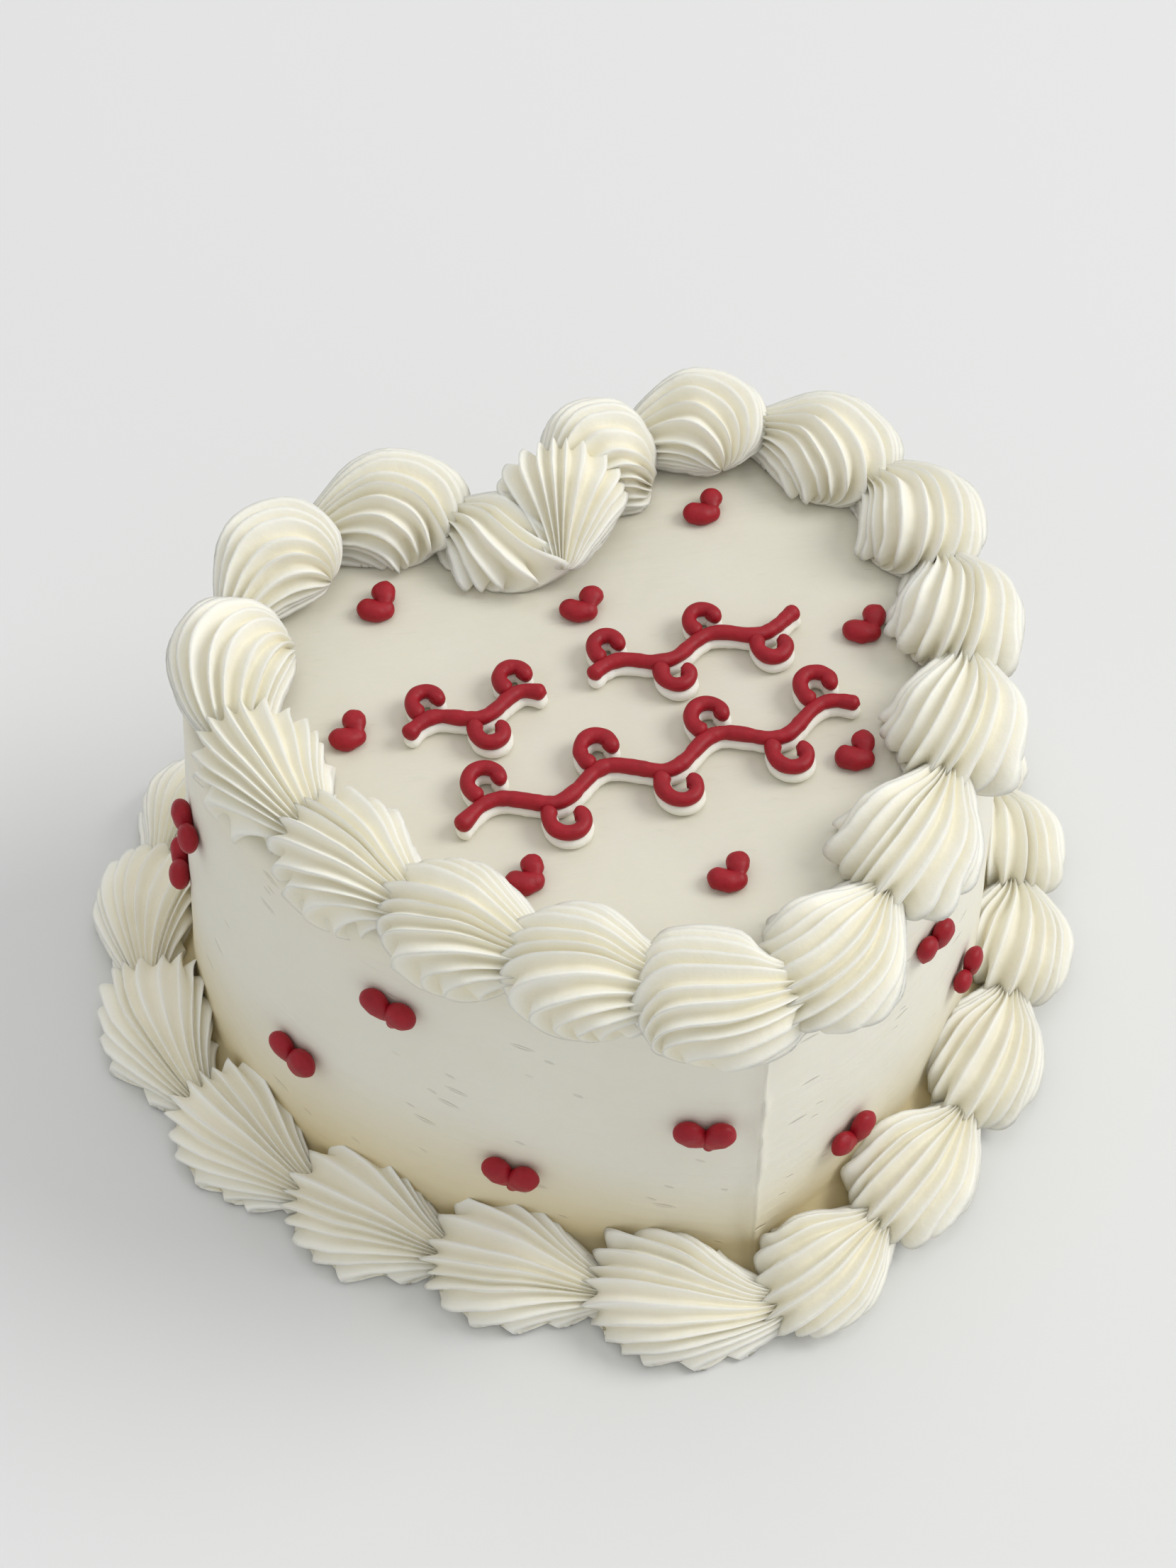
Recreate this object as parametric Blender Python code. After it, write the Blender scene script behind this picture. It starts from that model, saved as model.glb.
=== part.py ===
"""Small heart-shaped cake in ivory buttercream, with two piped shell borders,
red piped hearts and red scroll flourishes.  Metres, +Z up, base at z = 0.
The tip of the heart points to -Y, the cleft to +Y."""

import math
import random

import bmesh
import bpy
from mathutils import Vector

for ob in list(bpy.data.objects):
    bpy.data.objects.remove(ob, do_unlink=True)

MM = 0.001
SEED = 11

# ---------------------------------------------------------------- cake body
WALL_H = 56.0          # board to flat top
HALF_W = 53.0          # half width at the base
TIP_Y = 57.5           # tip below the lobe line, at the base
LOBE_Y = 34.5          # highest point of a lobe
LOBE_X = 22.0          # its distance from the middle
CLEFT_Y = 26.0         # cleft between the lobes
FLANK_STRAIGHT = 0.45  # how far the sides run down before they turn in
FLANK_BELLY = 0.64     # how far out the belly next to the tip reaches
TIP_SLOPE = 0.33       # slope of the sides where they meet at the tip
LEAN = 2.6             # the wall leans in this far from base to top
EDGE_R = 2.2           # rounding of the top edge
BODY_STEPS = 12        # points on each of the three arcs of a half outline

# ------------------------------------------------------------ shell borders
GAP = 0.34             # clear space between neighbouring pieces
RIDGES = 6             # ridges modelled over the back of a shell
GROOVE = 0.83          # groove radius as a part of the ridge radius
TOP_W, TOP_H = 15.6, 9.2
TOP_SIT = 1.4          # middle line of a top shell above the cake top
FRONT_SAG = 1.2        # the shells next to the tip hang this much lower
BASE_W, BASE_H = 16.2, 11.0
# length along the border of each shell, head to tail, from the cleft
TOP_LEFT = (14.1, 16.6, 17.2, 17.0, 16.3, 15.5, 15.2, 14.8, 13.8)
TOP_RIGHT = (18.4, 19.4, 17.6, 15.3, 15.8, 16.9, 16.0, 12.0, 9.0)
BASE_LEFT = (20.4, 20.4, 16.4, 18.3, 20.3, 19.8, 19.2, 20.3, 21.5)
BASE_RIGHT = (17.3, 20.0, 20.1, 17.5, 15.8, 17.2, 17.2, 17.2, 17.2, 17.2)
# middle line of each border: half width, tip, lobe height, lobe x, cleft,
# lower end of the straight side, belly next to the tip, rise out of the cleft
TOP_LINE = (44.2, 56.0, 27.5, 20.0, 14.5, -22.0, (25.0, -46.0))
BASE_LINE = (58.6, 64.0, 40.2, 22.5, 32.5, -24.0, (36.0, -54.5))
# the left side of the base border lies a little nearer to the tip's flank
BASE_LINE_LEFT = (58.6, 64.0, 40.2, 22.5, 32.5, -24.0, (33.5, -52.0))
TOP_CLEFT = (((5.0, 16.0), (9.0, 27.5)), ((2.5, 20.0), (7.0, 27.5)))
BASE_CLEFT = (((6.0, 36.0), (12.0, 40.2)), ((6.0, 36.0), (12.0, 40.2)))
# position along a shell, size there, and how far a groove lies behind a ridge
STATIONS = ((0.0, 0.66, 1.3), (0.16, 0.94, 0.4), (0.40, 1.0, 0.0),
            (0.70, 0.74, 0.0), (1.0, 0.34, 0.0))

# ------------------------------------------------------------- red ornament
HEART_W, HEART_L, HEART_T = 6.5, 6.1, 2.3
TOP_HEARTS = ((-22.8, 14.4, 8), (0.5, 5.8, -6), (20.5, 15.5, 4), (31.5, -9.1, -8),
              (22.5, -26.6, 6), (1.7, -37.7, 0), (-20.2, -30.0, 10), (-32.4, -3.2, 12))
# plan direction from the lobe line in degrees (0 = +X, -90 = tip), height
WALL_HEARTS = ((178.0, 40.5), (170.0, 23.5), (221.5, 43.5), (205.7, 23.0),
               (238.0, 17.5), (263.2, 30.0), (285.4, 14.0), (302.0, 38.0),
               (315.9, 16.5), (331.6, 43.0))
STROKE_W, STROKE_H = 2.0, 3.0

rng = random.Random(SEED)

col_main = bpy.data.collections.new("heart_cake")
col_cut = bpy.data.collections.new("cutters")
bpy.context.scene.collection.children.link(col_main)
bpy.context.scene.collection.children.link(col_cut)


def material(name, rgb, rough):
    m = bpy.data.materials.new(name)
    m.use_nodes = True
    b = m.node_tree.nodes["Principled BSDF"]
    b.inputs["Base Color"].default_value = (*rgb, 1.0)
    b.inputs["Roughness"].default_value = rough
    b.inputs["Metallic"].default_value = 0.0
    m.diffuse_color = (*rgb, 1.0)
    return m


def add_object(name, verts, faces, mat, collection=None, smooth=True):
    me = bpy.data.meshes.new(name)
    me.from_pydata([tuple(c * MM for c in v) for v in verts], [], faces)
    bm = bmesh.new()
    bm.from_mesh(me)
    bmesh.ops.remove_doubles(bm, verts=bm.verts, dist=1e-6)
    bmesh.ops.recalc_face_normals(bm, faces=bm.faces)
    bm.to_mesh(me)
    bm.free()
    if mat:
        me.materials.append(mat)
    for p in me.polygons:
        p.use_smooth = smooth
    ob = bpy.data.objects.new(name, me)
    (collection or col_main).objects.link(ob)
    return ob


def loft(rings):
    """Closed skin over equal rings, with the first and last ring capped."""
    n = len(rings[0])
    verts = [v for r in rings for v in r]
    faces = []
    for i in range(len(rings) - 1):
        for j in range(n):
            k = (j + 1) % n
            faces.append((i * n + j, i * n + k, (i + 1) * n + k, (i + 1) * n + j))
    faces.append(tuple(range(n - 1, -1, -1)))
    faces.append(tuple((len(rings) - 1) * n + j for j in range(n)))
    return verts, faces


# ------------------------------------------------------------ heart outline
def bezier(p0, p1, p2, p3, steps):
    out = []
    for i in range(steps + 1):
        u = i / steps
        a, b, c, d = (1 - u) ** 3, 3 * u * (1 - u) ** 2, 3 * u * u * (1 - u), u ** 3
        out.append((a * p0[0] + b * p1[0] + c * p2[0] + d * p3[0],
                    a * p0[1] + b * p1[1] + c * p2[1] + d * p3[1]))
    return out


def half_heart(grow, steps):
    """Right half, cleft to tip.  grow moves the outline outward."""
    w, tip, lobe = HALF_W + grow, TIP_Y + 1.09 * grow, LOBE_Y + grow
    cleft, lx, k = CLEFT_Y + 1.18 * grow, LOBE_X, 0.5523
    a = bezier((0, cleft), (lx * 0.22, cleft + (lobe - cleft) * 0.55),
               (lx * 0.55, lobe), (lx, lobe), steps)
    b = bezier((lx, lobe), (lx + (w - lx) * k, lobe), (w, lobe * k), (w, 0), steps)
    c = bezier((w, 0), (w, -tip * FLANK_STRAIGHT),
               (w * FLANK_BELLY, -tip + w * FLANK_BELLY * TIP_SLOPE), (0, -tip), steps)
    return a + b[1:] + c[1:]


def heart_ring(grow, z, steps=BODY_STEPS):
    right = half_heart(grow, steps)
    left = [(-x, y) for x, y in right[-2:0:-1]]
    pts = right + left
    return [(x, y, z) for x, y in reversed(pts)]


def body_rings(extra, z_low, z_top):
    r = EDGE_R
    def lean(z):
        return -LEAN * max(0.0, min(1.0, z / WALL_H))
    rings = [heart_ring(lean(z_low) + extra, z_low)]
    if z_low < 0:
        rings.append(heart_ring(extra, 0.0))
    rings.append(heart_ring(lean(z_top - r) + extra, z_top - r))
    rings.append(heart_ring(lean(z_top) + extra - r * 0.30, z_top - r * 0.29))
    rings.append(heart_ring(lean(z_top) + extra - r, z_top))
    return rings


cream = material("buttercream_wall", (0.82, 0.79, 0.69), 0.55)
body = add_object("cake_body", *loft(body_rings(0.0, 0.0, WALL_H)), cream, smooth=False)
cutter = add_object("body_clearance", *loft(body_rings(GAP, -4.0, WALL_H + GAP)), None, col_cut,
                    smooth=False)
cutter.hide_render = True
cutter.display_type = "WIRE"


# -------------------------------------------------------------- border path
def arc_lengths(pts):
    s = [0.0]
    for p, q in zip(pts, pts[1:]):
        s.append(s[-1] + math.dist(p, q))
    return s


def point_at(pts, s, d):
    d = max(0.0, min(s[-1], d))
    i = 1
    while i < len(s) - 1 and s[i] < d:
        i += 1
    u = (d - s[i - 1]) / (s[i] - s[i - 1])
    return Vector((pts[i - 1][0] + u * (pts[i][0] - pts[i - 1][0]),
                   pts[i - 1][1] + u * (pts[i][1] - pts[i - 1][1])))


def tangent_at(pts, s, d, reach=2.5):
    v = point_at(pts, s, d + reach) - point_at(pts, s, d - reach)
    return v.normalized()


def side_path(line, rise, mirror):
    """One side of a border's middle line, cleft to tip."""
    half_w, tip, lobe, lobe_x, cleft, side_y, belly = line
    k = 0.5523
    a = bezier((0, cleft), rise[0], rise[1], (lobe_x, lobe), 30)
    b = bezier((lobe_x, lobe), (lobe_x + (half_w - lobe_x) * k, lobe),
               (half_w, lobe * k), (half_w, 0), 30)
    c = bezier((half_w, 0), (half_w, side_y), belly, (0, -tip), 40)
    pts = a + b[1:] + c[1:]
    return [(-x, y) for x, y in pts] if mirror else pts


def joints(pts, lengths, reverse):
    """Joint points and directions.  The piping runs anticlockwise."""
    s = arc_lengths(pts)
    scale = s[-1] / sum(lengths)
    marks = [0.0]
    for v in (reversed(lengths) if reverse else lengths):
        marks.append(marks[-1] + v * scale)
    out = []
    for d in marks:
        p, t = point_at(pts, s, d), tangent_at(pts, s, d)
        out.append((p, -t if reverse else t))
    return list(reversed(out)) if reverse else out


def border(lines, rise, left, right):
    lj = joints(side_path(lines[0], rise[0], True), left, False)
    rj = joints(side_path(lines[1], rise[1], False), right, True)
    # shared joints: the tip faces along +X, the cleft along -X
    tip = (lj[-1][0], Vector((1, 0)))
    cleft = (lj[0][0], Vector((-1, 0)))
    lj[0], lj[-1], rj[0], rj[-1] = cleft, tip, tip, cleft
    return [(lj[i], lj[i + 1]) for i in range(len(lj) - 1)] + \
           [(rj[i], rj[i + 1]) for i in range(len(rj) - 1)]


def hermite(a, da, b, db, u):
    length = (b - a).length
    h1, h2 = 2 * u ** 3 - 3 * u * u + 1, -2 * u ** 3 + 3 * u * u
    h3, h4 = u ** 3 - 2 * u * u + u, u ** 3 - u * u
    p = a * h1 + b * h2 + da * (h3 * length) + db * (h4 * length)
    e = 1e-3
    def at(v):
        return (a * (2 * v ** 3 - 3 * v * v + 1) + b * (-2 * v ** 3 + 3 * v * v)
                + da * ((v ** 3 - 2 * v * v + v) * length) + db * ((v ** 3 - v * v) * length))
    lo, hi = max(0.0, u - e), min(1.0, u + e)
    return p, (at(hi) - at(lo)).normalized()


def shell_rings(joint_a, joint_b, width, height, mid_z, floor_z, under, twist, squeeze):
    (a, da), (b, db) = joint_a, joint_b
    plane_a, plane_b = a, b
    a = a + da * (GAP * 0.55)
    b = b - db * (GAP * 0.55)
    rings = []

    def keep_between(p, step):
        """Holds a point on its own side of the two joints."""
        room = GAP * 0.55
        short = room + 0.06 * step - (p - plane_a).dot(da)
        if short > 0:
            p = p + da * short
        short = room + 0.06 * (len(STATIONS) - 1 - step) - (plane_b - p).dot(db)
        if short > 0:
            p = p - db * short
        return p

    for step, (u, size, tuck) in enumerate(STATIONS):
        c, t = hermite(a, da, b, db, u)
        side = Vector((-t.y, t.x))
        hw, hh = width * 0.5 * size, (height - 0.0) * (size ** squeeze)
        ring = []
        steps = 2 * RIDGES
        for j in range(steps + 1):
            ridge = (j % 2 == 0)
            f = 1.0 if ridge else GROOVE
            ang = math.pi * (j / steps) + twist * math.sin(math.pi * j / steps) * (u - 0.3)
            x, z = hw * f * math.cos(ang), hh * f * math.sin(ang)
            back = 0.0 if ridge else tuck
            p = keep_between(c + side * x + t * back, step)
            ring.append((p.x, p.y, mid_z + z))
        for ang in (math.radians(222), math.radians(318)):
            x, z = hw * 0.92 * math.cos(ang), under * size * math.sin(ang)
            p = keep_between(c + side * x, step)
            ring.append((p.x, p.y, max(floor_z, mid_z + z)))
        rings.append(ring)
    return rings


def cut_clear(ob, other):
    m = ob.modifiers.new("clear_" + other.name, "BOOLEAN")
    m.operation = "DIFFERENCE"
    m.solver = "EXACT"
    m.object = other


shell_mats = {}


def make_shell(name, ja, jb, top, raise_z=0.0, scale=1.0):
    w = (TOP_W if top else BASE_W) * (1 + rng.uniform(-0.03, 0.03)) * scale
    h = (TOP_H - TOP_SIT if top else BASE_H - 1.0) * (1 + rng.uniform(-0.05, 0.05)) * scale
    mid = (WALL_H + TOP_SIT if top else 1.0) + raise_z
    rings = shell_rings(ja, jb, w, h, mid, -99.0 if top else 0.0, 5.0 if top else 1.0,
                        rng.uniform(0.20, 0.34), 0.80)
    mat = material("buttercream_" + name, (0.84, 0.81, 0.70), 0.5)
    ob = add_object(name, *loft(rings), mat, smooth=False)
    cut_clear(ob, cutter)
    return ob


for i, (ja, jb) in enumerate(border((TOP_LINE, TOP_LINE), TOP_CLEFT, TOP_LEFT, TOP_RIGHT), 1):
    front = max(0.0, min(1.0, -(ja[0].y + jb[0].y) / 80.0))
    lift = 1.6 if i == 18 else -FRONT_SAG * front
    size = 1.04 if i in (17, 18) else 1.0 + 0.05 * front
    make_shell("top_shell_%02d" % i, ja, jb, True, lift, size)
for i, (ja, jb) in enumerate(border((BASE_LINE_LEFT, BASE_LINE), BASE_CLEFT,
                                    BASE_LEFT, BASE_RIGHT), 1):
    make_shell("base_shell_%02d" % i, ja, jb, False)


# -------------------------------------------------------------- red hearts
HEART_SHAPE = ((0.0, 0.30), (0.24, 0.50), (0.46, 0.40), (0.50, 0.14), (0.34, -0.18), (0.0, -0.50))


def heart_section():
    right = HEART_SHAPE
    left = [(-x, y) for x, y in HEART_SHAPE[-2:0:-1]]
    return [(x, y) for x, y in list(right) + left]


def make_heart(name, centre, across, along, normal):
    rings = []
    for inset, z in ((0.06, 0.0), (0.0, 0.5), (0.38, 1.0)):
        ring = []
        for x, y in heart_section():
            lobe = 0.24 if x > 0 else -0.24
            if x == 0:
                lobe = 0.0
            cx, cy = lobe, 0.12
            px, py = x + (cx - x) * inset, y + (cy - y) * inset
            zz = z * (0.86 if x == 0 else 1.0)
            p = centre + across * (px * HEART_W) + along * (py * HEART_L) + normal * (zz * HEART_T)
            ring.append(tuple(p))
        rings.append(ring)
    mat = material("raspberry_" + name, (0.42, 0.025, 0.045), 0.6)
    return add_object(name, *loft(rings), mat, smooth=False)


for i, (x, y, deg) in enumerate(TOP_HEARTS, 1):
    a = math.radians(deg)
    make_heart("top_heart_%02d" % i, Vector((x, y, WALL_H + GAP)),
               Vector((math.cos(a), math.sin(a), 0)), Vector((-math.sin(a), math.cos(a), 0)),
               Vector((0, 0, 1)))


def wall_point(deg, z):
    """Point on the wall in a plan direction from the lobe line, and its outward normal."""
    ring = [(p[0], p[1]) for p in heart_ring(-LEAN * z / WALL_H, 0.0, 60)]
    d = Vector((math.cos(math.radians(deg)), math.sin(math.radians(deg))))
    best = max(range(len(ring)), key=lambda i: Vector(ring[i]).normalized().dot(d))
    p, q = Vector(ring[best - 1]), Vector(ring[(best + 1) % len(ring)])
    t = (q - p).normalized()
    n = Vector((t.y, -t.x))
    if n.dot(Vector(ring[best])) < 0:
        n = -n
    return Vector((*ring[best], z)), n


for i, (deg, z) in enumerate(WALL_HEARTS, 1):
    p, n = wall_point(deg, z)
    up = Vector((-n.x * LEAN / WALL_H, -n.y * LEAN / WALL_H, 1)).normalized()
    across = Vector((-n.y, n.x, 0))
    normal = across.cross(up).normalized()
    if normal.dot(Vector((n.x, n.y, 0))) < 0:
        normal = -normal
    make_heart("wall_heart_%02d" % i, p + normal * (GAP + 0.12), across, up, normal)


# ------------------------------------------------------------ red flourishes
STROKE_SECTION = ((-0.42, 0.0), (0.42, 0.0), (0.5, 0.45), (0.26, 0.95), (-0.26, 0.95),
                  (-0.5, 0.45))


def stroke_rings(pts, z0, scale=1.0):
    """Flattened rope laid along the points, narrower at its two ends."""
    rings = []
    last = len(pts) - 1
    for i, p in enumerate(pts):
        a, b = Vector(pts[max(0, i - 1)]), Vector(pts[min(last, i + 1)])
        t = (b - a).normalized()
        n = Vector((-t.y, t.x))
        end = 0.74 if i in (0, last) else 1.0
        w, h = STROKE_W * end * scale, STROKE_H * scale * (0.86 if end < 1 else 1.0)
        rings.append([(p[0] + n.x * w * x, p[1] + n.y * w * x, z0 + h * z)
                      for x, z in STROKE_SECTION])
    return rings


def curl_points(cx, cy, side, r0, r1, a0, sweep, steps):
    """Curl that springs from the stem and rolls in on itself."""
    out = []
    for i in range(steps + 1):
        u = i / steps
        a, r = math.radians(a0 - sweep * u), r0 + (r1 - r0) * u ** 0.85
        out.append((cx + r * math.cos(a), cy + side * r * math.sin(a)))
    return out


def flourish(name, x0, x1, y, amp, wave, first, curl):
    """Wavy stem with curls that spring from it above and below by turns.
    first is the x of the first crest; curl is the size of the curls."""
    z0 = WALL_H + GAP
    def stem_y(x):
        return y + amp * math.cos(2 * math.pi * (x - first) / wave)
    n = max(6, round((x1 - x0) / 2.0))
    stem = [(x0 + (x1 - x0) * i / n, stem_y(x0 + (x1 - x0) * i / n)) for i in range(n + 1)]
    mat = material("raspberry_" + name, (0.42, 0.025, 0.045), 0.6)
    ob = add_object(name, *loft(stroke_rings(stem, z0)), mat, smooth=False)
    k, x = 0, first
    while x < x1 - 0.5:
        side = 1 if k % 2 == 0 else -1
        pts = curl_points(x + 0.5 * curl, stem_y(x) + side * 3.0 * curl, side,
                          3.0 * curl, 1.15 * curl, 240, 297, 8)
        c = add_object("%s_curl_%d" % (name, k + 1), *loft(stroke_rings(pts, z0 + 0.03, 0.98)),
                       None, col_cut, smooth=False)
        c.hide_render = True
        c.display_type = "WIRE"
        m = ob.modifiers.new("curl_%d" % (k + 1), "BOOLEAN")
        m.operation, m.solver, m.object = "UNION", "EXACT", c
        k += 1
        x += wave / 2
    return ob


flourish("flourish_left", -26.6, -8.6, -6.2, 1.1, 11.0, -22.6, 0.80)
flourish("flourish_right", -3.0, 24.6, -5.6, 1.1, 12.4, 0.6, 0.80)
flourish("flourish_front", -25.4, 25.6, -20.6, 1.5, 14.0, -20.2, 0.96)
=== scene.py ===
"""Heart-shaped cake in ivory buttercream with piped shell borders, red hearts
and red scroll flourishes.  Millimetres in the code, metres in the meshes."""

import math

import bpy
import numpy as np
from mathutils import Matrix, Vector


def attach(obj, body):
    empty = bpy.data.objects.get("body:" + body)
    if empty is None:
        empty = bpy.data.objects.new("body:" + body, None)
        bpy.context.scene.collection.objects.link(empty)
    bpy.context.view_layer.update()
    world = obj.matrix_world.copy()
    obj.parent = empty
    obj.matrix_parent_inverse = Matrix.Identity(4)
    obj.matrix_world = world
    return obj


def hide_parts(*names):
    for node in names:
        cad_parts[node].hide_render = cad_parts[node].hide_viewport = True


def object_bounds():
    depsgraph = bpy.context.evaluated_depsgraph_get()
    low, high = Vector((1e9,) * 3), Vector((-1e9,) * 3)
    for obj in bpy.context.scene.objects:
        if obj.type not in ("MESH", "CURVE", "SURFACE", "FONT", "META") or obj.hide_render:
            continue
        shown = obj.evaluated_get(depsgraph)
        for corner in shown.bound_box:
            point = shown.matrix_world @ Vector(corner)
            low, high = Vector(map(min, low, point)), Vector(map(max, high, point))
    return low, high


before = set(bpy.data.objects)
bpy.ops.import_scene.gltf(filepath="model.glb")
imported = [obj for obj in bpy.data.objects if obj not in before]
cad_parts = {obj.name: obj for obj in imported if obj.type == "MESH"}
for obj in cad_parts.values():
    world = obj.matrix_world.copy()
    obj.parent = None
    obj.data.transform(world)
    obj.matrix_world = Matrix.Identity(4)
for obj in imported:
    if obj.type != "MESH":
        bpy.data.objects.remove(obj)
BOX_LO, BOX_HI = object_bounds()
MM = 0.001
LO = np.array(BOX_LO) / MM + 0.03
HI = np.array(BOX_HI) / MM - 0.03

# ------------------------------------------------ sizes, as in the solid part
WALL_H, HALF_W, TIP_Y, LOBE_Y, LOBE_X, CLEFT_Y = 56.0, 53.0, 57.5, 34.5, 22.0, 26.0
FLANK_STRAIGHT, FLANK_BELLY, TIP_SLOPE, LEAN, EDGE_R = 0.45, 0.64, 0.33, 2.6, 2.2
GAP = 0.34
TOP_W, TOP_H, BASE_W, BASE_H = 15.6, 9.2, 16.2, 11.0
FRONT_SAG = 1.2
TOP_LEFT = (14.1, 16.6, 17.2, 17.0, 16.3, 15.5, 15.2, 14.8, 13.8)
TOP_RIGHT = (18.4, 19.4, 17.6, 15.3, 15.8, 16.9, 16.0, 12.0, 9.0)
BASE_LEFT = (20.4, 20.4, 16.4, 18.3, 20.3, 19.8, 19.2, 20.3, 21.5)
BASE_RIGHT = (17.3, 20.0, 20.1, 17.5, 15.8, 17.2, 17.2, 17.2, 17.2, 17.2)
TOP_LINE = (44.2, 56.0, 27.5, 20.0, 14.5, -22.0, (25.0, -46.0))
BASE_LINE = (58.6, 64.0, 40.2, 22.5, 32.5, -24.0, (36.0, -54.5))
BASE_LINE_LEFT = (58.6, 64.0, 40.2, 22.5, 32.5, -24.0, (33.5, -52.0))
TOP_CLEFT = (((5.0, 16.0), (9.0, 27.5)), ((2.5, 20.0), (7.0, 27.5)))
BASE_CLEFT = (((6.0, 36.0), (12.0, 40.2)), ((6.0, 36.0), (12.0, 40.2)))
TOP_HEARTS = ((-22.8, 14.4, 8), (0.5, 5.8, -6), (20.5, 15.5, 4), (31.5, -9.1, -8),
              (22.5, -26.6, 6), (1.7, -37.7, 0), (-20.2, -30.0, 10), (-32.4, -3.2, 12))
WALL_HEARTS = ((178.0, 40.5), (170.0, 23.5), (221.5, 43.5), (205.7, 23.0),
               (238.0, 17.5), (263.2, 30.0), (285.4, 14.0), (302.0, 38.0),
               (315.9, 16.5), (331.6, 43.0))
HEART_W, HEART_L, HEART_T = 6.5, 6.1, 2.3


# ------------------------------------------------------------ small helpers
def noise(p, seed=0):
    """Smooth lattice noise in -1..1 at the rows of p."""
    p = np.asarray(p, float)
    i = np.floor(p).astype(np.int64)
    f = p - i
    f = f * f * (3 - 2 * f)
    out = np.zeros(p.shape[:-1])
    for dx in (0, 1):
        for dy in (0, 1):
            for dz in (0, 1):
                h = ((i[..., 0] + dx) * 374761393 + (i[..., 1] + dy) * 668265263
                     + (i[..., 2] + dz) * 1442695041 + seed * 974711) & 0xFFFFFFFF
                h = ((h ^ (h >> 13)) * 1274126177) & 0xFFFFFFFF
                h = (h ^ (h >> 16)) / 4294967295.0
                w = ((f[..., 0] if dx else 1 - f[..., 0])
                     * (f[..., 1] if dy else 1 - f[..., 1])
                     * (f[..., 2] if dz else 1 - f[..., 2]))
                out += h * w
    return out * 2 - 1


def smooth(q):
    q = np.clip(q, 0, 1)
    return q * q * (3 - 2 * q)


def grid_faces(rows, cols, closed=True):
    """Quads of a rows x cols grid, numbered row by row."""
    r = np.arange(rows - 1)[:, None] * cols
    c = np.arange(cols if closed else cols - 1)[None, :]
    d = (c + 1) % cols
    q = np.stack([r + c, r + d, r + cols + d, r + cols + c], -1)
    return q.reshape(-1, 4)


def build(name, verts, faces, mats, attrs=None, replaces=(), mat_index=None):
    """Piece from millimetre points, kept inside the cake's own box."""
    v = np.clip(np.asarray(verts, float), LO, HI) * MM
    me = bpy.data.meshes.new(name)
    me.from_pydata(v.tolist(), [], [tuple(int(i) for i in f) for f in faces])
    me.validate()
    for m in mats:
        me.materials.append(m)
    me.polygons.foreach_set("use_smooth", np.ones(len(me.polygons), bool))
    if mat_index is not None:
        me.polygons.foreach_set("material_index", np.asarray(mat_index, np.int32))
    for key, val in (attrs or {}).items():
        val = np.asarray(val, np.float32)
        if val.ndim == 2:
            a = me.attributes.new(key, "FLOAT_VECTOR", "POINT")
            a.data.foreach_set("vector", val.ravel())
        else:
            a = me.attributes.new(key, "FLOAT", "POINT")
            a.data.foreach_set("value", val)
    me.update()
    ob = bpy.data.objects.new(name, me)
    bpy.context.scene.collection.objects.link(ob)
    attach(ob, "root")
    if replaces:
        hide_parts(*replaces)
    return ob


def grid_normals(P, closed):
    """Unit normals of a grid of points, rows x cols x 3."""
    du = np.gradient(P, axis=0)
    if closed:
        dv = (np.roll(P, -1, 1) - np.roll(P, 1, 1)) * 0.5
    else:
        dv = np.gradient(P, axis=1)
    n = np.cross(du, dv)
    return n / np.maximum(np.linalg.norm(n, axis=-1, keepdims=True), 1e-9)


# ------------------------------------------------------ outline and borders
def bezier(p, n):
    u = np.linspace(0, 1, n + 1)[:, None]
    p = np.array(p, float)
    return ((1 - u) ** 3 * p[0] + 3 * u * (1 - u) ** 2 * p[1]
            + 3 * u * u * (1 - u) * p[2] + u ** 3 * p[3])


def half_heart(grow, n):
    w, tip, lobe = HALF_W + grow, TIP_Y + 1.09 * grow, LOBE_Y + grow
    cleft, lx, k = CLEFT_Y + 1.18 * grow, LOBE_X, 0.5523
    a = bezier([(0, cleft), (lx * 0.22, cleft + (lobe - cleft) * 0.55),
                (lx * 0.55, lobe), (lx, lobe)], n)
    b = bezier([(lx, lobe), (lx + (w - lx) * k, lobe), (w, lobe * k), (w, 0)], n)
    c = bezier([(w, 0), (w, -tip * FLANK_STRAIGHT),
                (w * FLANK_BELLY, -tip + w * FLANK_BELLY * TIP_SLOPE), (0, -tip)], n)
    return np.r_[a, b[1:], c[1:]]


def side_path(line, rise, mirror):
    half_w, tip, lobe, lobe_x, cleft, side_y, belly = line
    k = 0.5523
    a = bezier([(0, cleft), rise[0], rise[1], (lobe_x, lobe)], 30)
    b = bezier([(lobe_x, lobe), (lobe_x + (half_w - lobe_x) * k, lobe),
                (half_w, lobe * k), (half_w, 0)], 30)
    c = bezier([(half_w, 0), (half_w, side_y), belly, (0, -tip)], 40)
    pts = np.r_[a, b[1:], c[1:]]
    return pts * [-1, 1] if mirror else pts


def lengths_along(pts):
    return np.r_[0, np.cumsum(np.hypot(*np.diff(pts, axis=0).T))]


def joints(pts, lengths, reverse):
    s = lengths_along(pts)
    lengths = np.array(lengths[::-1] if reverse else lengths, float)
    marks = np.r_[0, np.cumsum(lengths)] * s[-1] / lengths.sum()

    def at(d):
        d = np.clip(d, 0, s[-1])
        return np.array([np.interp(d, s, pts[:, 0]), np.interp(d, s, pts[:, 1])])
    out = []
    for d in marks:
        t = at(d + 2.5) - at(d - 2.5)
        t /= np.linalg.norm(t)
        out.append((at(d), -t if reverse else t))
    return out[::-1] if reverse else out


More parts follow.
